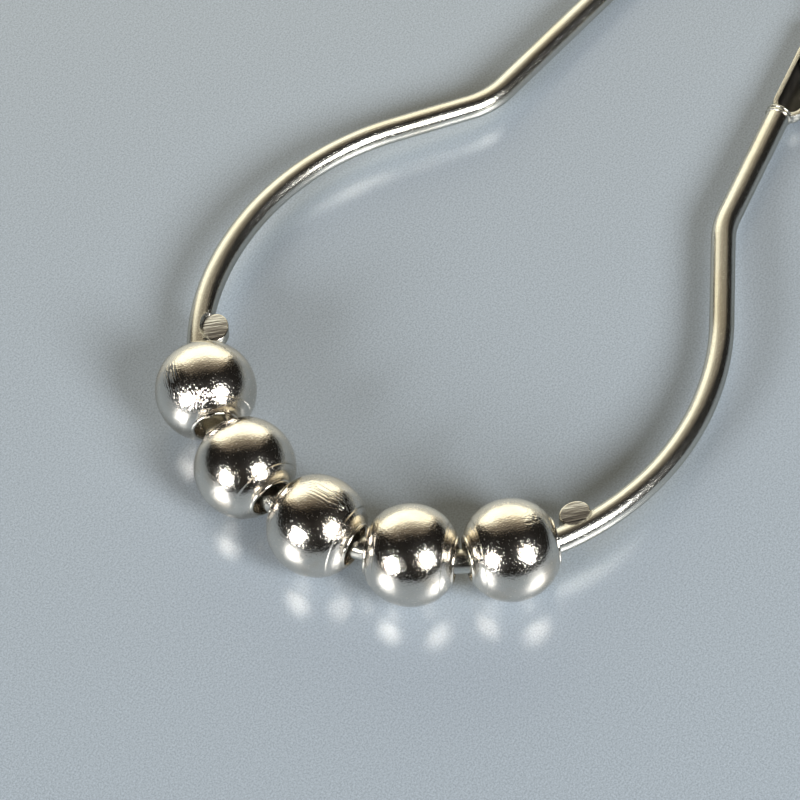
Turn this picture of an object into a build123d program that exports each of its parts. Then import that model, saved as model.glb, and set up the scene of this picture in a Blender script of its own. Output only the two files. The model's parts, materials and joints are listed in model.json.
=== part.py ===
from build123d import *

import os
from math import asin, atan2, cos, degrees, hypot, radians, sin, sqrt

# Roller-ball shower curtain ring, lying on a table. Millimetres, +Z up.
# The origin is under the centre of the round rod loop, on the table. +X runs along the ring,
# away from the balls and towards the eyelet loop. The clasp is on the -Y side.

# The wire, one length of round spring steel
wire_diameter = 2.5
loop_radius = 24.7
shoulder_radius = 29.3
kink_radius = 8.5

# Turns on the eyelet side, in degrees, and its straight neck
eyelet_loop_angle = 76.5
eyelet_shoulder_angle = 50.8
eyelet_neck_length = 8.2
eyelet_kink_angle = 29.7

# Turns on the clasp side, its straight neck, and its leg up to the step of the clasp
clasp_loop_angle = 63.4
clasp_shoulder_angle = 56.7
clasp_neck_length = 9.9
clasp_kink_angle = 21.0
clasp_leg_length = 13.7

# The clasp: the end of the wire, rolled to an open trough that the pin end snaps into
trough_length = 12.2
trough_wall = 0.42
trough_rise = 0.6
trough_shift = 0.6
mouth_round = 0.9
pin_clearance = 0.12
pin_gap_length = 6.7
pin_nose = 0.5

# Two beads of metal, pushed up round the wire where the trough starts, and the wire's end
bead_radius = 0.14
bead_pitch = 0.4
step_dome = 0.35

# The two ears, pressed flat out of the wire's inner side, that stop the row of balls. The punches
# have sloping sides. The play is the bare wire between an end ball and its ear.
ear_length = 3.2
ear_width = 2.5
ear_inset = 1.6
ear_thickness = 1.5
ear_edge = 0.15
punch_angle = 35.0
ear_play = 1.5

# The balls, pressed from sheet, with a collar and a rolled lip at each end of the hole
ball_count = 5
ball_diameter = 10.0
ball_wall = 0.4
hole_diameter = 4.0
lip_reach = 4.2
collar_angle = 50.0
collar_radius = 3.75
collar_step = 0.18
collar_crown = 0.12
ball_gap = 0.12
seat_gap = 0.15
row_shift = 1.5

wire_radius = wire_diameter / 2
ball_radius = ball_diameter / 2
lip_radius = ball_wall / 2
lip_circle = hole_diameter / 2 + lip_radius
trough_bore = wire_radius + pin_clearance
trough_radius = trough_bore + trough_wall
dome_radius = (wire_radius**2 + step_dome**2) / (2 * step_dome)

# A ball's hole is straight and the wire in it is bent, so the ball sits half of the bend's
# height inwards, and the wire lies near the lowest point of both lips.
bend_height = loop_radius - sqrt(loop_radius**2 - lip_reach**2)
ball_circle = loop_radius - bend_height / 2
ball_lift = sqrt((hole_diameter / 2 - wire_radius - seat_gap) ** 2 - (bend_height / 2) ** 2)

# Neighbouring balls lean towards each other, so their lips are nearest on the loop's inner side
inner_reach = ball_circle - lip_circle
lip_spacing = ball_gap / 2 + lip_radius
half_pitch = atan2(lip_reach, inner_reach) + asin(lip_spacing / hypot(lip_reach, inner_reach))
ball_pitch = 2 * degrees(half_pitch)
half_row = (ball_count - 1) / 2 * ball_pitch
ball_angles = [i * ball_pitch - half_row + row_shift for i in range(ball_count)]
ear_arc = lip_reach + lip_radius + ear_play + ear_length / 2
ear_angle = half_row + degrees(ear_arc / loop_radius)


def bend_wire(up):
    """Draw the wire's centre-line on the active plane, whose normal is up, and return three runs."""
    far_point = (-loop_radius, 0)

    clasp_loop = JernArc(far_point, (0, -1), loop_radius, clasp_loop_angle)
    clasp_shoulder = JernArc(clasp_loop @ 1, clasp_loop % 1, shoulder_radius, clasp_shoulder_angle)
    clasp_neck = PolarLine(clasp_shoulder @ 1, clasp_neck_length, direction=clasp_shoulder % 1)
    clasp_kink = JernArc(clasp_neck @ 1, clasp_neck % 1, kink_radius, -clasp_kink_angle)
    clasp_leg = PolarLine(clasp_kink @ 1, clasp_leg_length, direction=clasp_kink % 1)

    loop = JernArc(far_point, (0, 1), loop_radius, -eyelet_loop_angle)
    shoulder = JernArc(loop @ 1, loop % 1, shoulder_radius, -eyelet_shoulder_angle)
    neck = PolarLine(shoulder @ 1, eyelet_neck_length, direction=shoulder % 1)
    kink = JernArc(neck @ 1, neck % 1, kink_radius, eyelet_kink_angle)

    # The eyelet loop is the arc that touches both the eyelet leg's line and the pin's line
    clasp_along = clasp_leg % 1
    clasp_inward = up.cross(clasp_along)
    eyelet_inward = (kink % 1).cross(up)
    pin_root = clasp_leg @ 1 + clasp_along * trough_length - clasp_inward * trough_shift
    eyelet_radius = (pin_root - kink @ 1).dot(eyelet_inward) / (1 - clasp_inward.dot(eyelet_inward))
    eyelet_centre = pin_root + clasp_inward * eyelet_radius
    leg = Line(kink @ 1, eyelet_centre - eyelet_inward * eyelet_radius)
    eyelet = JernArc(leg @ 1, leg % 1, eyelet_radius, (leg % 1).get_angle(clasp_along) - 180)
    pin = PolarLine(eyelet @ 1, trough_length - pin_gap_length, direction=eyelet % 1)
    return clasp_leg, eyelet, pin


# At rest the lower end ball touches the table, and so does what is lowest at the eyelet end
with BuildLine() as flat:
    flat_leg, flat_eyelet, flat_pin = bend_wire(Vector(0, 0, 1))
end_ball_x = -ball_circle * cos(radians(max(ball_angles)))
drop_at_balls = ball_radius - ball_lift
low_points = [(flat_eyelet.bounding_box().max.X, wire_radius), ((flat_pin @ 0).X, trough_radius)]
lean = asin(min((drop_at_balls - depth) / (x - end_ball_x) for x, depth in low_points))
ring_plane = Plane(
    origin=(0, 0, drop_at_balls + end_ball_x * sin(lean)),
    x_dir=(cos(lean), 0, -sin(lean)),
    z_dir=(sin(lean), 0, cos(lean)),
)
up = ring_plane.z_dir

with BuildLine(ring_plane) as centre_line:
    clasp_leg, eyelet, pin = bend_wire(up)


def on_wire(angle, radius, height=0.0):
    """A plane at an angle from the loop's far point, with X along the wire and Y inwards."""
    turn = radians(angle)
    centre = ring_plane.from_local_coords((-radius * cos(turn), -radius * sin(turn), height))
    ahead = ring_plane.x_dir * sin(turn) - ring_plane.y_dir * cos(turn)
    return Plane(origin=centre, x_dir=ahead, z_dir=up)


clasp_along = clasp_leg % 1
step = clasp_leg @ 1
heel = step - up.cross(clasp_along) * trough_shift + clasp_along * trough_bore
trough_plane = Plane(origin=heel, x_dir=clasp_along, z_dir=up)
trough_side = Plane(origin=heel, x_dir=clasp_along, z_dir=clasp_along.cross(up))
mouth = trough_length - trough_bore
trough_depth = 2 * trough_radius

with BuildPart() as ring_wire:
    # The trough is a test tube, cut open along its top, with the corners of its mouth rounded
    with BuildSketch(trough_plane):
        with BuildLine():
            outside = CenterArc((0, 0), trough_radius, 180, -90)
            inside = CenterArc((0, 0), trough_bore, 180, -90)
            Polyline(outside @ 1, (mouth, trough_radius), (mouth, trough_bore), inside @ 1)
            Line(outside @ 0, inside @ 0)
        make_face()
    revolve(axis=Axis(heel, clasp_along))
    with BuildSketch(trough_side):
        with BuildLine():
            top = FilletPolyline(
                (-trough_depth, trough_rise),
                (mouth, trough_rise),
                (mouth, -trough_depth),
                radius=mouth_round,
            )
            Polyline(top @ 0, (-trough_depth, -trough_depth), top @ 1)
        make_face()
    extrude(amount=trough_depth, both=True, mode=Mode.INTERSECT)

    # The wire, from the step of the clasp right round to the pin in the trough
    with BuildSketch(Plane(origin=step, z_dir=clasp_along)):
        Circle(wire_radius)
    sweep(path=centre_line.wire())
    pin_tip = ring_wire.edges().filter_by(GeomType.CIRCLE).sort_by_distance(pin @ 1)[0]
    fillet(pin_tip, radius=pin_nose)

    # The step: the wire's domed end, and two beads of metal pushed up round it
    with BuildSketch(Plane(origin=step, x_dir=clasp_along, z_dir=up)):
        with BuildLine():
            dome = CenterArc(
                (step_dome - dome_radius, 0), dome_radius, 0, degrees(asin(wire_radius / dome_radius))
            )
            Polyline(dome @ 1, (-bead_pitch, wire_radius), (-bead_pitch, 0), dome @ 0)
        make_face()
    revolve(axis=Axis(step, clasp_along))
    with BuildSketch(Plane(origin=step, x_dir=clasp_along, z_dir=up)):
        with Locations((0, wire_radius), (-bead_pitch, wire_radius)):
            Circle(bead_radius)
    revolve(axis=Axis(step, clasp_along))

    # The ears: punches from above and below press the wire's inner side to a flat lug
    for angle in (row_shift - ear_angle, row_shift + ear_angle):
        ear = on_wire(angle, loop_radius - ear_inset)
        for side in (1, -1):
            face = ear.origin + up * side * ear_thickness / 2
            with BuildSketch(Plane(origin=face, x_dir=ear.x_dir, z_dir=up * side)):
                Ellipse(ear_length / 2, ear_width / 2)
            extrude(amount=wire_radius, taper=-punch_angle, mode=Mode.SUBTRACT)
        with BuildPart() as lug:
            with BuildSketch(ear):
                Ellipse(ear_length / 2, ear_width / 2)
            extrude(amount=ear_thickness / 2, both=True)
            fillet(lug.edges().filter_by(GeomType.ELLIPSE), radius=ear_edge)

ring_wire.part.label = "ring_wire"


def press_ball(seat):
    """One ball of even wall, its hole along the seat's X axis, with the same collar at both ends."""
    collar_edge = asin(collar_radius / ball_radius)
    collar_foot = Vector(cos(collar_edge), sin(collar_edge))
    with BuildPart() as ball:
        with BuildSketch(seat):
            with BuildLine():
                shell = CenterArc((0, 0), ball_radius, 90, degrees(collar_edge) - 90)
                ledge = Line(shell @ 1, collar_foot * (ball_radius - collar_step))
                rim = CenterArc((lip_reach, lip_circle), lip_radius, 90, collar_angle - 270)
                SagittaArc(ledge @ 1, rim @ 0, -collar_crown)
                cavity = CenterArc((0, 0), ball_radius - ball_wall, 90, degrees(collar_edge) - 90)
                collar_back = collar_foot * (ball_radius - ball_wall - collar_step)
                Polyline(cavity @ 1, collar_back, rim @ 1)
                Line(cavity @ 0, shell @ 0)
            make_face()
            mirror(about=Plane.YZ)
        revolve(axis=Axis(seat.origin, seat.x_dir))
    return ball


os.makedirs("parts", exist_ok=True)
export_step(ring_wire.part, "parts/ring_wire.step")

for number, angle in enumerate(ball_angles, start=1):
    # Every ball rests on the table, so it stands a little lower on the wire where the wire is higher
    foot = on_wire(angle, ball_circle)
    lift = (ball_radius - foot.origin.Z) / up.Z
    ball = press_ball(foot.offset(lift))
    ball.part.label = f"roller_ball_{number}"
    export_step(ball.part, f"parts/{ball.part.label}.step")
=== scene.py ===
import json
from math import asin, atan2, ceil, cos, degrees, pi, radians, sin, tan

import bmesh
import bpy
from mathutils import Matrix, Vector


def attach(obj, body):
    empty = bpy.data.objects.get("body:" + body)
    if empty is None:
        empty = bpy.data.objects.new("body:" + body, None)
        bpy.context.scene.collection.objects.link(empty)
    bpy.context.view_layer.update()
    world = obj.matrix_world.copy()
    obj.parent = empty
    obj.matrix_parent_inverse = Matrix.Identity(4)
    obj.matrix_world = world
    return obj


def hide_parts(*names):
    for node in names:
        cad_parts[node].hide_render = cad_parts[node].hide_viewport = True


# Roller-ball shower curtain ring lying on a table: its plated finish, the table, light and camera.
# Shapes are worked out in millimetres and placed in metres.
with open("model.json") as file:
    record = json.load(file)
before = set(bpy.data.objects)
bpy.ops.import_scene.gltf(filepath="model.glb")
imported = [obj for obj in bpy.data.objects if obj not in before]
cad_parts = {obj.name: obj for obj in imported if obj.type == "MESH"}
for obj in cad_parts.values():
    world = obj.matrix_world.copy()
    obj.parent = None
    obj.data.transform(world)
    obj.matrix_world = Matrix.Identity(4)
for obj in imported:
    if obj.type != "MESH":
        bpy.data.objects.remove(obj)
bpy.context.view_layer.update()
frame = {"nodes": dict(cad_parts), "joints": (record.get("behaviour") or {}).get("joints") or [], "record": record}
MM = 0.001

# The wire, bent as in the CAD model: radii and straight lengths in millimetres, turns in degrees
WIRE_RADIUS = 1.25
LOOP_RADIUS = 24.7
SHOULDER_RADIUS = 29.3
KINK_RADIUS = 8.5
CLASP_TURNS = {"loop": 63.4, "shoulder": 56.7, "neck": 9.9, "kink": 21.0, "leg": 13.7}
EYELET_TURNS = {"loop": 76.5, "shoulder": 50.8, "neck": 8.2, "kink": 29.7}

# How finely the wire is made: faces round it, and the longest step along it and turn, in degrees
WIRE_SIDES = 96
LENGTH_STEP = 0.6
TURN_STEP = 1.2

# The trough clasp and the pin that snaps into it
TROUGH_LENGTH = 12.2
TROUGH_WALL = 0.42
TROUGH_RISE = 0.6
TROUGH_SHIFT = 0.6
MOUTH_ROUND = 0.9
PIN_CLEARANCE = 0.12
PIN_START = 6.7
PIN_NOSE = 0.5
BEAD_RADIUS = 0.14
BEAD_PITCH = 0.4
STEP_DOME = 0.35
DOME_START = 0.92
DOME_END = 0.02
HEEL_STEPS = 24
BEAD_STEPS = 10
MOUTH_CUTS = range(10, 90, 10)

# The pressed ears, and the play between them and the end balls
EAR_LENGTH = 3.2
EAR_WIDTH = 2.5
EAR_INSET = 1.6
EAR_THICKNESS = 1.5
EAR_EDGE = 0.15
EAR_PLAY = 1.5
PUNCH_DRAFT = 35.0
LUG_PROUD = 0.003
EAR_SIDES = 72

# The balls
BALL_COUNT = 5
BALL_RADIUS = 5.0
BALL_WALL = 0.4
HOLE_RADIUS = 2.0
LIP_RADIUS = BALL_WALL / 2
LIP_REACH = 4.2
COLLAR_RADIUS = 3.75
COLLAR_SLOPE = 50.0
COLLAR_STEP = 0.06
COLLAR_CROWN = 0.12
BALL_SIDES = 160
SHELL_STEPS = 48
LEDGE_STEPS = 8
COLLAR_STEPS = 10
RIM_STEPS = 22
CAVITY_STEPS = 32

# Scuffs on the balls: which ball, the place on it along its axis, across and up, and how far the
# scuff reaches along the axis and round it
SCUFFS = (
    (1, (2.6, -1.4, 3.9), 2.4, 2.0),
    (1, (0.2, -3.3, 3.8), 3.0, 1.5),
    (3, (1.0, 1.3, 4.7), 5.0, 1.5),
    (5, (2.0, 0.4, 4.6), 1.4, 1.2),
)
DRAWN_APART = 40.0

# The layer zone marks the faces of the wire that have a finish of their own: the ears' pressed flats,
# and the trough's hollow, which is painted dark as shade. A face is level when its normal is this upright,
# and a face of the hollow is this near the bore and the mouth.
EAR_FLAT = 1.0
TROUGH_HOLLOW = 2.0
LEVEL = 0.99
NEAR_BORE = 0.01
NEAR_MOUTH = 0.05

SHARP_ANGLE = radians(32)

# Camera: measured from the ring's own plane, at the photograph's angle and framing
CAMERA_AZIMUTH = 57.4
CAMERA_ELEVATION = 57.0
CAMERA_ROLL = -0.19
CAMERA_DISTANCE = 450.0
CAMERA_TARGET = Vector((0.22, 0, 0))
FOCAL_PIXELS = 4561.0
AIM_PIXEL = Vector((450.7, 343.1))
IMAGE_SIZE = 800.0
SENSOR = 36.0


def ring_frame():
    """The ring's own plane in the row frame: it lies on the table with a slight lean."""
    mount = next(m for m in frame["record"]["mounts"] if m["name"] == "eyelet_loop")
    centre, up = Vector(mount["pos_m"]), Vector(mount["axis"]).normalized()
    origin = Vector((0, 0, centre.dot(up) / up.z))
    across = up.cross(Vector((1, 0, 0))).normalized()
    axes = Matrix((across.cross(up), across, up)).transposed()
    return Matrix.Translation(origin) @ axes.to_4x4() @ Matrix.Scale(MM, 4)


RING = ring_frame()


def arc_points(centre, radius, start, end, steps):
    """Points on an arc in a plane, from one angle to another in degrees."""
    angles = [radians(start + (end - start) * i / steps) for i in range(steps + 1)]
    return [Vector((centre[0] + radius * cos(a), centre[1] + radius * sin(a))) for a in angles]


class Bender:
    """Bends wire as a former does: the section is pushed on straight or turned about a centre.

    Each point keeps in the layer drawn where it was in the straight wire: its length along it,
    then its place across it and up it.
    """

    def __init__(self, bm, ring, point, heading, along=0.0, sense=1):
        self.bm, self.ring = bm, ring
        self.point, self.heading = Vector(point), Vector(heading)
        self.along, self.sense = along, sense
        self.drawn = bm.verts.layers.float_vector["drawn"]

    def _left(self):
        return Vector((-self.heading.y, self.heading.x, 0))

    def _take(self, geom, length):
        self.ring = [g for g in geom if isinstance(g, bmesh.types.BMEdge)]
        self.along += length * self.sense
        verts = {v for e in self.ring for v in e.verts}
        for v in verts:
            v[self.drawn] = (self.along, v[self.drawn].y, v[self.drawn].z)
        return list(verts)

    def _push(self, length, scale=1.0):
        made = bmesh.ops.extrude_edge_only(self.bm, edges=self.ring)["geom"]
        verts = self._take(made, length)
        bmesh.ops.translate(self.bm, verts=verts, vec=self.heading * length)
        self.point += self.heading * length
        if scale != 1.0:
            about = Matrix.Translation(-self.point)
            bmesh.ops.scale(self.bm, verts=verts, vec=(scale,) * 3, space=about)
            for v in verts:
                v[self.drawn] = (self.along, v[self.drawn].y * scale, v[self.drawn].z * scale)

    def straight(self, length):
        steps = ceil(length / LENGTH_STEP)
        for _ in range(steps):
            self._push(length / steps)
        return self

    def turn(self, angle, radius):
        """Turn left by an angle in degrees, or right if it is negative."""
        side = 1 if angle > 0 else -1
        centre = self.point + self._left() * radius * side
        steps = ceil(abs(angle) / TURN_STEP * max(1, radius / LOOP_RADIUS))
        for _ in range(steps):
            step = radians(angle) / steps
            made = bmesh.ops.spin(
                self.bm, geom=self.ring, cent=centre, axis=(0, 0, 1), angle=step, steps=1
            )
            self._take(made["geom_last"], radius * abs(step))
            self.point = centre + Matrix.Rotation(step, 3, "Z") @ (self.point - centre)
            self.heading = Matrix.Rotation(step, 3, "Z") @ self.heading
        return self

    def finish(self, profile):
        """Close the end with rings of (how far on, what radius), then a last small face.

        The first ring is the section that is there.
        """
        on, radius = profile[0]
        for reach, size in profile[1:]:
            self._push(reach - on, size / radius)
            radius, on = size, reach
        bmesh.ops.edgeloop_fill(self.bm, edges=self.ring)
        return self


def frame_at(origin, along, inward):
    """A frame in the ring's plane, from its place, its X and its Y."""
    up = Vector((0, 0, 1))
    return Matrix.Translation(origin) @ Matrix((along, inward, up)).transposed().to_4x4()


def clasp_frame(step, heading):
    """The trough's frame: X along the clasp's leg from the heel's centre, Y inwards, Z up."""
    inward = Vector((-heading.y, heading.x, 0))
    heel = step - inward * TROUGH_SHIFT + heading * (WIRE_RADIUS + PIN_CLEARANCE)
    return frame_at(heel, heading, inward)


def step_profile():
    """The wire's end at the step: two beads round it, then a low dome.

    The dome's start and end are shares of the angle from its pole to the wire's edge.
    """
    rings = []
    for bead in (-BEAD_PITCH, 0.0):
        rings += arc_points((bead, WIRE_RADIUS), BEAD_RADIUS, 180, 0, BEAD_STEPS)
    dome = (WIRE_RADIUS**2 + STEP_DOME**2) / (2 * STEP_DOME)
    edge = degrees(asin(WIRE_RADIUS / dome))
    rings += arc_points((STEP_DOME - dome, 0), dome, edge * DOME_START, edge * DOME_END, BEAD_STEPS)
    return [tuple(ring) for ring in rings]


def nose_profile():
    """The pin's end: its edge rounded, and its flat drawn in half way."""
    rings = arc_points((0, WIRE_RADIUS - PIN_NOSE), PIN_NOSE, 90, 0, BEAD_STEPS)
    return [tuple(ring) for ring in rings] + [(PIN_NOSE, WIRE_RADIUS / 2)]


def bend_wire():
    """The whole wire in the ring's plane, and the frame of its clasp."""
    bm = bmesh.new()
    drawn = bm.verts.layers.float_vector.new("drawn")
    bm.faces.layers.float.new("zone")
    bmesh.ops.create_circle(bm, segments=WIRE_SIDES, radius=WIRE_RADIUS)
    for v in bm.verts:
        v[drawn] = (0, v.co.x, v.co.y)
    far_point = Vector((-LOOP_RADIUS, 0, 0))
    bmesh.ops.transform(
        bm, verts=bm.verts, matrix=Matrix.Translation(far_point) @ Matrix.Rotation(pi / 2, 4, "X")
    )
    ring = list(bm.edges)

    clasp = Bender(bm, ring, far_point, (0, -1, 0))
    turns = CLASP_TURNS
    clasp.turn(turns["loop"], LOOP_RADIUS).turn(turns["shoulder"], SHOULDER_RADIUS)
    clasp.straight(turns["neck"]).turn(-turns["kink"], KINK_RADIUS)
    reach = BEAD_PITCH + BEAD_RADIUS
    clasp.straight(turns["leg"] - reach)
    step = clasp.point + clasp.heading * reach
    heading = clasp.heading.copy()
    clasp.finish([(x + reach, r) for x, r in step_profile()])

    eyelet = Bender(bm, ring, far_point, (0, 1, 0), sense=-1)
    turns = EYELET_TURNS
    eyelet.turn(-turns["loop"], LOOP_RADIUS).turn(-turns["shoulder"], SHOULDER_RADIUS)
    eyelet.straight(turns["neck"]).turn(turns["kink"], KINK_RADIUS)

    # The eyelet loop is the arc that touches both the eyelet leg's line and the pin's line
    inward = Vector((-heading.y, heading.x, 0))
    leg_inward = Vector((eyelet.heading.y, -eyelet.heading.x, 0))
    pin_root = step + heading * TROUGH_LENGTH - inward * TROUGH_SHIFT
    radius = (pin_root - eyelet.point).dot(leg_inward) / (1 - inward.dot(leg_inward))
    leg_end = pin_root + inward * radius - leg_inward * radius
    eyelet.straight((leg_end - eyelet.point).dot(eyelet.heading))
    swing = degrees(eyelet.heading.angle(heading)) - 180
    eyelet.turn(swing, radius)
    eyelet.straight(TROUGH_LENGTH - PIN_START - PIN_NOSE)
    eyelet.finish(nose_profile())

    bmesh.ops.recalc_face_normals(bm, faces=bm.faces)
    return bm, clasp_frame(step, heading)


def new_object(name, bm):
    mesh = bpy.data.meshes.new(name)
    bm.to_mesh(mesh)
    bm.free()
    piece = bpy.data.objects.new(name, mesh)
    bpy.context.scene.collection.objects.link(piece)
    return piece


def keep_drawn(bm, apart=0.0):
    """Keep each point's place in the layer drawn, set apart along X so that no two balls look alike."""
    drawn = bm.verts.layers.float_vector.get("drawn") or bm.verts.layers.float_vector.new("drawn")
    for v in bm.verts:
        v[drawn] = v.co + Vector((apart, 0, 0))


def mark_zone(bm, zone, chosen):
    """Write a zone's number on the faces that a test chooses."""
    layer = bm.faces.layers.float.new("zone")
    bm.normal_update()
    for face in bm.faces:
        if chosen(face):
            face[layer] = zone


def lathe(points, steps):
    """A closed solid of revolution about X, from an outline of (X, radius)."""
    bm = bmesh.new()
    verts = [bm.verts.new((x, 0, r)) for x, r in points]
    edges = [bm.edges.new(pair) for pair in zip(verts, verts[1:])]
    bmesh.ops.spin(
        bm, geom=verts + edges, cent=(0, 0, 0), axis=(1, 0, 0), angle=2 * pi, steps=steps, use_merge=True
    )
    bmesh.ops.remove_doubles(bm, verts=bm.verts, dist=1e-5)
    bmesh.ops.dissolve_degenerate(bm, edges=bm.edges, dist=1e-6)
    bmesh.ops.recalc_face_normals(bm, faces=bm.faces)
    return bm


def cut(bm, point, normal):
    """Cut away what lies past a plane, and close the cut."""
    geom = list(bm.verts) + list(bm.edges) + list(bm.faces)
    bmesh.ops.bisect_plane(bm, geom=geom, dist=1e-5, plane_co=point, plane_no=normal, clear_outer=True)
    bmesh.ops.holes_fill(bm, edges=[e for e in bm.edges if e.is_boundary])


def round_edges(bm, size, segments=3):
    """Bevel every edge that is sharper than the sharp angle."""
    sharp = [e for e in bm.edges if e.is_manifold and e.calc_face_angle() > SHARP_ANGLE]
    bmesh.ops.bevel(
        bm, geom=sharp, offset=size, segments=segments, profile=0.5, affect="EDGES", material=-1,
        clamp_overlap=True,
    )


def from_heel(point):
    """How far a point is from the trough's axis, which ends at the centre of its heel."""
    return Vector((min(point.x, 0), point.y, point.z)).length


def roll_trough(place):
    """The trough: a test tube about X, cut open along its top, with its mouth's corners rounded."""
    bore = WIRE_RADIUS + PIN_CLEARANCE
    outer = bore + TROUGH_WALL
    mouth = TROUGH_LENGTH - bore
    outline = arc_points((0, 0), outer, 180, 90, HEEL_STEPS)
    outline += [Vector((mouth, outer)), Vector((mouth, bore))]
    outline += arc_points((0, 0), bore, 90, 180, HEEL_STEPS)
    bm = lathe(outline, WIRE_SIDES)
    cut(bm, (0, 0, TROUGH_RISE), (0, 0, 1))
    corner = Vector((mouth - MOUTH_ROUND, 0, TROUGH_RISE - MOUTH_ROUND))
    for turn in MOUTH_CUTS:
        normal = Vector((cos(radians(turn)), 0, sin(radians(turn))))
        cut(bm, corner + normal * MOUTH_ROUND, normal)
    round_edges(bm, TROUGH_WALL / 6, 2)

    def in_hollow(face):
        centre = face.calc_center_median()
        return centre.z < TROUGH_RISE - NEAR_MOUTH and from_heel(centre) < bore + NEAR_BORE

    # The hollow's faces are marked so that the wire's finish paints them dark as shade
    mark_zone(bm, TROUGH_HOLLOW, in_hollow)
    keep_drawn(bm)
    bmesh.ops.transform(bm, verts=bm.verts, matrix=place)
    return bm


def ball_joint(number):
    return next(j for j in frame["joints"] if j["child"] == f"ball_{number}")


def ear_frame(side):
    """A frame at the ear past the first ball or the last: X along the wire, Y inwards, Z up."""
    end_ball = RING.inverted() @ Vector(ball_joint(1 if side < 0 else BALL_COUNT)["pos_m"])
    past = LIP_REACH + LIP_RADIUS + EAR_PLAY + EAR_LENGTH / 2
    turn = atan2(-end_ball.y, -end_ball.x) + side * past / LOOP_RADIUS
    outward = Vector((-cos(turn), -sin(turn), 0))
    along = Vector((sin(turn), -cos(turn), 0))
    return frame_at(outward * (LOOP_RADIUS - EAR_INSET), along, -outward)


def oval(low, high, spread=0.0):
    """An upright solid on the ear's outline, from one height to another, wider at the top."""
    bm = bmesh.new()
    bmesh.ops.create_circle(bm, segments=EAR_SIDES, radius=1, cap_ends=True)
    bmesh.ops.scale(bm, verts=bm.verts, vec=(EAR_LENGTH / 2, EAR_WIDTH / 2, 1))
    bmesh.ops.translate(bm, verts=bm.verts, vec=(0, 0, low))
    made = bmesh.ops.extrude_face_region(bm, geom=list(bm.faces))["geom"]
    top = [g for g in made if isinstance(g, bmesh.types.BMVert)]
    bmesh.ops.translate(bm, verts=top, vec=(0, 0, high - low))
    grow = (1 + 2 * spread / EAR_LENGTH, 1 + 2 * spread / EAR_WIDTH, 1)
    bmesh.ops.scale(bm, verts=top, vec=grow)
    bmesh.ops.recalc_face_normals(bm, faces=bm.faces)
    return bm


def boolean(piece, bm, operation):
    """Join a shape to a piece, or cut it out of it, for good."""
    tool = new_object("tool", bm)
    step = piece.modifiers.new("step", "BOOLEAN")
    step.operation = operation
    step.solver = "EXACT"
    step.object = tool
    graph = bpy.context.evaluated_depsgraph_get()
    mesh = bpy.data.meshes.new_from_object(piece.evaluated_get(graph))
    piece.modifiers.clear()
    piece.data = mesh
    bpy.data.objects.remove(tool)


def settle(piece, place):
    """Put a finished mesh in its place and shade it smooth up to its sharp edges."""
    piece.data.transform(place)
    piece.data.shade_smooth()
    piece.data.set_sharp_from_angle(angle=SHARP_ANGLE)


def make_wire():
    bm, clasp = bend_wire()
    piece = new_object("wire_form", bm)
    half = EAR_THICKNESS / 2
    for side in (-1, 1):
        place = ear_frame(side)
        for way in (-1, 1):
            punch = oval(half, half + WIRE_RADIUS, WIRE_RADIUS * tan(radians(PUNCH_DRAFT)))
            mark_zone(punch, EAR_FLAT, lambda face: face.normal.z < -LEVEL)
            keep_drawn(punch)
            turn = Matrix.Rotation(pi / 2 - way * pi / 2, 4, "X")
            bmesh.ops.transform(punch, verts=punch.verts, matrix=place @ turn)
            boolean(piece, punch, "DIFFERENCE")
        # The lug stands a hair proud of the punched flats, so that no two faces lie in one plane
        lug = oval(-half - LUG_PROUD, half + LUG_PROUD)
        round_edges(lug, EAR_EDGE)
        mark_zone(lug, EAR_FLAT, lambda face: abs(face.normal.z) > LEVEL)
        keep_drawn(lug)
        bmesh.ops.transform(lug, verts=lug.verts, matrix=place)
        boolean(piece, lug, "UNION")
    boolean(piece, roll_trough(clasp), "UNION")
    settle(piece, RING)
    return piece


def ease(start, ahead, back, end):
    """Points on a smooth curve that leaves its start towards one point and comes in from another."""
    return [
        start * (1 - t) ** 3 + ahead * 3 * t * (1 - t) ** 2 + back * 3 * t**2 * (1 - t) + end * t**3
        for t in (i / LEDGE_STEPS for i in range(LEDGE_STEPS + 1))
    ]


def ball_outline():
    """Half of a ball's section, outside and inside, from one lip to the other."""
    edge = degrees(asin(COLLAR_RADIUS / BALL_RADIUS))
    foot = Vector((cos(radians(edge)), sin(radians(edge))))
    shell = arc_points((0, 0), BALL_RADIUS, 90, edge, SHELL_STEPS)
    lip_centre = (LIP_REACH, HOLE_RADIUS + LIP_RADIUS)
    rim = arc_points(lip_centre, LIP_RADIUS, 90, COLLAR_SLOPE - 180, RIM_STEPS)
    start, end = foot * (BALL_RADIUS - COLLAR_STEP), rim[0]
    crown = Vector((start.y - end.y, end.x - start.x)).normalized() * COLLAR_CROWN
    steps = [i / COLLAR_STEPS for i in range(COLLAR_STEPS + 1)]
    collar = [start.lerp(end, t) + crown * 4 * t * (1 - t) for t in steps]
    cavity = arc_points((0, 0), BALL_RADIUS - BALL_WALL, edge, 90, CAVITY_STEPS)
    ledge = ease(shell[-2], shell[-1], start, collar[1])
    outside = shell[:-2] + ledge + collar[2:] + rim[1:]
    half = outside + [foot * (BALL_RADIUS - BALL_WALL - COLLAR_STEP)] + cavity
    other = [Vector((-p.x, p.y)) for p in reversed(half)]
    return half + other[1:-1] + [half[0]]


def make_ball(number):
    """A pressed ball on its seat, which is its joint's place and axis."""
    joint = ball_joint(number)
    bm = lathe(ball_outline(), BALL_SIDES)
    keep_drawn(bm, number * DRAWN_APART)
    axis = Vector(joint["axis"]).normalized()
    side = Vector((0, 0, 1)).cross(axis).normalized()
    seat = Matrix((axis, side, axis.cross(side))).transposed().to_4x4()
    piece = new_object(f"pressed_ball_{number}", bm)
    settle(piece, Matrix.Translation(joint["pos_m"]) @ seat @ Matrix.Scale(MM, 4))
    return piece


# Materials

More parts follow.
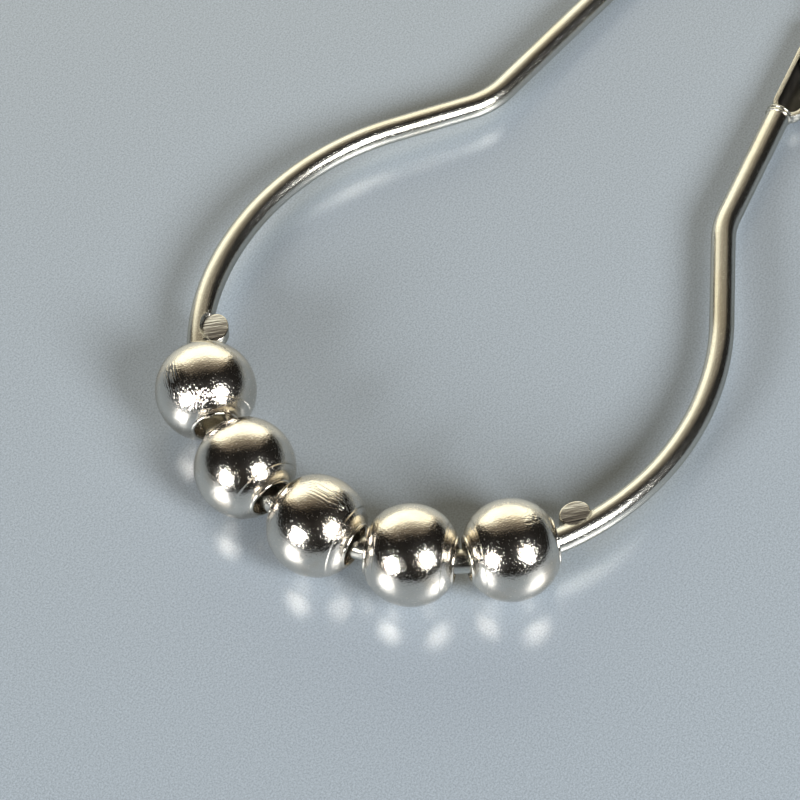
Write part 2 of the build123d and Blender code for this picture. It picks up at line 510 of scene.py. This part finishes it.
class Field:
    """A socket of a node, so that shader maths reads as arithmetic."""

    def __init__(self, nodes, socket):
        self.nodes, self.socket = nodes, socket

    def _maths(self, operation, *values):
        return self.nodes.add("ShaderNodeMath", {"operation": operation}, *values)

    def __add__(self, other):
        return self._maths("ADD", self, other)

    def __radd__(self, other):
        return self._maths("ADD", other, self)

    def __sub__(self, other):
        return self._maths("SUBTRACT", self, other)

    def __rsub__(self, other):
        return self._maths("SUBTRACT", other, self)

    def __mul__(self, other):
        return self._maths("MULTIPLY", self, other)

    def __rmul__(self, other):
        return self._maths("MULTIPLY", other, self)

    def __pow__(self, other):
        return self._maths("POWER", self, other)

    def __abs__(self):
        return self._maths("ABSOLUTE", self)


class Nodes:
    """The nodes of a material or a light, added by their type, settings and sockets' values."""

    def __init__(self, owner):
        self.owner = owner
        owner.use_nodes = True
        self.tree = owner.node_tree
        self.tree.nodes.clear()

    def node(self, kind, settings=None, *values, **named):
        node = self.tree.nodes.new(kind)
        for key, value in (settings or {}).items():
            setattr(node, key, value)
        sockets = dict(enumerate(values))
        sockets.update({key.replace("_", " "): value for key, value in named.items()})
        for key, value in sockets.items():
            if isinstance(value, Field):
                self.tree.links.new(value.socket, node.inputs[key])
            else:
                node.inputs[key].default_value = value
        return node

    def add(self, kind, settings=None, *values, **named):
        node = self.node(kind, settings, *values, **named)
        return Field(self, next(s for s in node.outputs if s.enabled))

    def place(self):
        return Field(self, self.node("ShaderNodeTexCoord").outputs["Object"])

    def layer(self, name, output="Vector"):
        """A layer of the mesh: its vector, or the number in its output Fac."""
        return Field(self, self.node("ShaderNodeAttribute", {"attribute_name": name}).outputs[output])

    def stretch(self, vector, scale):
        return self.add("ShaderNodeMapping", None, vector, Scale=scale)

    def noise(self, vector, scale, detail=2.0, roughness=0.5):
        node = self.node(
            "ShaderNodeTexNoise", None, Vector=vector, Scale=scale, Detail=detail, Roughness=roughness
        )
        return Field(self, node.outputs[0])

    def ramp(self, value, *stops):
        node = self.node("ShaderNodeValToRGB")
        node.color_ramp.elements.remove(node.color_ramp.elements[1])
        for i, (place, colour) in enumerate(stops):
            stop = node.color_ramp.elements[0] if i == 0 else node.color_ramp.elements.new(place)
            stop.position = place
            stop.color = colour if len(colour) == 4 else (*colour, 1)
        self.tree.links.new(value.socket, node.inputs[0])
        return Field(self, node.outputs[0])

    def step(self, value, low, high):
        smooth = {"interpolation_type": "SMOOTHSTEP"}
        return self.add("ShaderNodeMapRange", smooth, value, low, high, 0.0, 1.0)

    def only(self, value, number):
        """One where a value is a certain whole number."""
        rise, fall = (number - 0.6, number - 0.4), (number + 0.4, number + 0.6)
        return self.step(value, *rise) - self.step(value, *fall)

    def near(self, vector, point, along, around):
        """One at a point, falling to nothing at its reach along the first axis and round it."""
        squeeze = around / along
        vector = self.stretch(vector, (squeeze, 1, 1))
        point = (point[0] * squeeze, point[1], point[2])
        distance = self.add("ShaderNodeVectorMath", {"operation": "DISTANCE"}, vector, point)
        return 1.0 - self.step(distance, around * 0.35, around)

    def split(self, vector):
        node = self.node("ShaderNodeSeparateXYZ", None, vector)
        return [Field(self, socket) for socket in node.outputs]

    def mix(self, factor, a, b):
        """Mix two colours, which are the seventh and eighth sockets of the Mix node."""
        node = self.tree.nodes.new("ShaderNodeMix")
        node.data_type = "RGBA"
        for key, value in ((0, factor), (6, a), (7, b)):
            if isinstance(value, Field):
                self.tree.links.new(value.socket, node.inputs[key])
            else:
                node.inputs[key].default_value = value
        return Field(self, node.outputs[2])

    def bump(self, height, strength, distance):
        return self.add("ShaderNodeBump", None, Height=height, Strength=strength, Distance=distance)

    def finish(self, shader, output="ShaderNodeOutputMaterial", **values):
        self.node(output, None, Surface=self.add(shader, None, **values))
        return self.owner

    def surface(self, **values):
        return self.finish("ShaderNodeBsdfPrincipled", **values)


NICKEL = (0.74, 0.70, 0.63, 1)
NICKEL_WARM = (0.70, 0.63, 0.53, 1)
NICKEL_EDGE = (0.85, 0.84, 0.82, 1)
WIRE_PLATE = (0.60, 0.59, 0.54, 1)
WIRE_PLATE_WARM = (0.56, 0.535, 0.465, 1)
WIRE_EDGE = (0.74, 0.73, 0.70, 1)
PRESSED = (0.55, 0.555, 0.55, 1)
# Painted shade: the colour of the trough's hollow, near black as if in shadow
TROUGH_PAINTED_SHADE = (0.10, 0.095, 0.085, 1)

# How far the punch's scores are turned in the ring's plane, in degrees
SCORE_TURN = 46.7


def plated_wire():
    """Nickel on drawn wire: fine die lines along it, and a faint uneven bloom.

    The ears' flat faces are greyer and scored by the punch, and the trough's hollow is painted near black as
    shade.
    """
    n = Nodes(bpy.data.materials.new("plated_wire"))
    drawn = n.layer("drawn")
    zone = n.layer("zone", "Fac")
    flat = n.only(zone, EAR_FLAT)
    hollow = n.only(zone, TROUGH_HOLLOW)
    lines = n.noise(n.stretch(drawn, (0.10, 2.6, 2.6)), 2.0, 3.0)
    ripple = n.noise(n.stretch(drawn, (0.35, 1, 1)), 0.9, 2.0)
    grain = n.noise(drawn, 7.0, 2.0)
    bloom = n.noise(n.stretch(drawn, (0.3, 1, 1)), 0.5, 2.0)
    turned = n.add("ShaderNodeMapping", None, n.place(), Rotation=(0, 0, radians(SCORE_TURN)))
    scores = n.noise(n.stretch(turned, (0.12, 1, 1)), 3600.0, 2.0)
    specks = n.step(grain, 0.56, 0.66)
    tint = n.mix(n.step(bloom, 0.45, 0.7), WIRE_PLATE, WIRE_PLATE_WARM)
    tint = n.mix(flat, tint, PRESSED)
    # Painted shade: the trough's hollow is coloured near black, as if in shadow
    tint = n.mix(hollow, tint, TROUGH_PAINTED_SHADE)
    rough = 0.17 + lines * 0.06 + specks * 0.05 - flat * 0.02 + hollow * 0.2
    height = (lines * 0.5 + specks * 0.12 + ripple * 0.4) * (1.0 - flat) + flat * scores * 1.6
    return n.surface(
        Base_Color=tint, Metallic=1.0, Roughness=rough, Specular_Tint=WIRE_EDGE,
        Normal=n.bump(height, 0.5, 0.00006),
    )


def plated_ball():
    """Nickel on pressed sheet: bright, with orange peel, fine specks and scuffs along the hole."""
    n = Nodes(bpy.data.materials.new("plated_ball"))
    drawn = n.layer("drawn")
    peel = n.noise(drawn, 0.9, 3.0, 0.6)
    grain = n.noise(drawn, 6.0, 2.0)
    marks = [
        n.near(drawn, (ball * DRAWN_APART + x, y, z), along, around)
        for ball, (x, y, z), along, around in SCUFFS
    ]
    scuffed = sum(marks[1:], marks[0])
    streaks = n.step(n.noise(n.stretch(drawn, (0.12, 4.6, 4.6)), 1.0, 1.0), 0.42, 0.6)
    specks = n.step(grain, 0.58, 0.66)
    pits = n.step(n.noise(drawn, 3.2, 3.0, 0.8), 0.63, 0.68)
    tint = n.mix(n.step(n.noise(drawn, 0.35, 2.0), 0.5, 0.75), NICKEL, NICKEL_WARM)
    rough = 0.13 + grain * 0.03 + pits * 0.2 + scuffed * streaks * 0.06
    height = peel * 0.6 + grain * 0.45 + specks * 0.05 + scuffed * streaks * 0.7
    return n.surface(
        Base_Color=tint, Metallic=1.0, Roughness=rough, Specular_Tint=NICKEL_EDGE,
        Normal=n.bump(height, 0.5, 0.00008),
    )


TABLE_DARK = (0.197, 0.233, 0.267, 1)
TABLE_PALE = (0.356, 0.412, 0.469, 1)


def table_top():
    """The pale grey-blue table: smooth and glossy, with a very fine speckle."""
    n = Nodes(bpy.data.materials.new("table_top"))
    speckle = n.noise(n.place(), 5500.0, 2.0, 0.7)
    shade = n.mix(n.step(speckle, 0.25, 0.75), TABLE_DARK, TABLE_PALE)
    return n.surface(Base_Color=shade, Roughness=0.3, IOR=1.7, Specular_IOR_Level=1.0)


wire = make_wire()
wire.data.materials.clear()
wire.data.materials.append(plated_wire())
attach(wire, "ring")
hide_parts("ring_wire")

ball_finish = plated_ball()
for number in range(1, BALL_COUNT + 1):
    ball = make_ball(number)
    ball.data.materials.append(ball_finish)
    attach(ball, f"ball_{number}")
    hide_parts(f"roller_ball_{number}")

# The CAD nodes stay hidden behind the pieces, in the same finishes
for name, node in frame["nodes"].items():
    node.data.materials.clear()
    node.data.materials.append(wire.data.materials[0] if name == "ring_wire" else ball_finish)

# Table
TABLE_SIZE = 3.0
bm = bmesh.new()
bmesh.ops.create_grid(bm, x_segments=1, y_segments=1, size=TABLE_SIZE)
table = new_object("table", bm)
table.data.materials.append(table_top())


def set_camera():
    """Aim at a point of the ring's plane and shift the frame, so that it falls on its own pixel."""
    azimuth, elevation, roll = radians(CAMERA_AZIMUTH), radians(CAMERA_ELEVATION), radians(CAMERA_ROLL)
    back = Vector((-cos(elevation) * sin(azimuth), -cos(elevation) * cos(azimuth), sin(elevation)))
    right = Vector((cos(azimuth), -sin(azimuth), 0))
    up = back.cross(right)
    right, up = right * cos(roll) - up * sin(roll), up * cos(roll) + right * sin(roll)
    eye = CAMERA_TARGET + back * CAMERA_DISTANCE
    off = Vector((IMAGE_SIZE / 2, IMAGE_SIZE / 2)) - AIM_PIXEL
    back = (back * FOCAL_PIXELS - right * off.x + up * off.y).normalized()
    right = up.cross(back).normalized()
    up = back.cross(right)
    turn = RING.to_3x3().normalized() @ Matrix((right, up, back)).transposed()
    data = bpy.data.cameras.new("camera")
    data.lens = FOCAL_PIXELS / IMAGE_SIZE * SENSOR
    data.sensor_width = SENSOR
    data.clip_start, data.clip_end = 0.01, 20
    camera = bpy.data.objects.new("camera", data)
    camera.matrix_world = Matrix.Translation(RING @ eye) @ turn.to_4x4()
    bpy.context.scene.collection.objects.link(camera)
    bpy.context.scene.camera = camera
    return camera


camera = set_camera()
view_back = camera.matrix_world.to_3x3().col[2]
camera_bearing = atan2(view_back.y, view_back.x)

# Light: two soft boxes in front, one to each side, and a cream one beyond the object. Each has a
# name and shape, then its bearing right of the camera and its elevation, its width and height,
# all as angles seen from the ring, and its power.
LIGHT_DISTANCE = 0.7
SOFT_BOXES = (
    ("left_box", "RECTANGLE", -48, 24, 20, 17, 5.2),
    ("right_box", "ELLIPSE", 44, 38, 21, 26, 6.2),
    ("far_box", "RECTANGLE", 186, 41, 100, 80, 13.0),
)

# The far box is brightest low in the middle, and dims upwards and to its sides, through brown
FAR_BOX_SHADES = (
    (0.0, (1.0, 0.96, 0.79)),
    (0.44, (0.95, 0.9, 0.71)),
    (0.55, (0.34, 0.305, 0.235)),
    (0.69, (0.12, 0.101, 0.076)),
    (0.88, (0.045, 0.037, 0.028)),
    (1.0, (0.0, 0.0, 0.0)),
)


def soft_box(name, shape, bearing, elevation, width, height, power):
    around = camera_bearing + radians(bearing)
    rise = radians(elevation)
    out = Vector((cos(rise) * cos(around), cos(rise) * sin(around), sin(rise)))
    data = bpy.data.lights.new(name, "AREA")
    data.shape = shape
    data.size = 2 * LIGHT_DISTANCE * tan(radians(width) / 2)
    data.size_y = 2 * LIGHT_DISTANCE * tan(radians(height) / 2)
    data.energy = power
    light = bpy.data.objects.new(name, data)
    light.location = out * LIGHT_DISTANCE
    light.rotation_mode = "QUATERNION"
    light.rotation_quaternion = out.to_track_quat("Z", "Y")
    light.visible_camera = False
    bpy.context.scene.collection.objects.link(light)
    return data


def shade_box(data, shades):
    """Give an area light a ramp of colours from its bottom edge to its top edge and its sides."""
    n = Nodes(data)
    place = Field(n, n.node("ShaderNodeNewGeometry").outputs["Parametric"])
    across, height, _ = n.split(place)
    shade = n.ramp(height + abs(across * 2.0 - 1.0) ** 5.0, *shades)
    return n.finish("ShaderNodeEmission", "ShaderNodeOutputLight", Color=shade)


boxes = {box[0]: soft_box(*box) for box in SOFT_BOXES}
shade_box(boxes["far_box"], FAR_BOX_SHADES)

# The room is almost dark
ROOM = (0.012, 0.011, 0.01, 1)
world = bpy.data.worlds.new("room")
world.use_nodes = True
background = world.node_tree.nodes["Background"]
background.inputs["Color"].default_value = ROOM
background.inputs["Strength"].default_value = 1.0
bpy.context.scene.world = world
bpy.context.scene.view_settings.view_transform = "Standard"
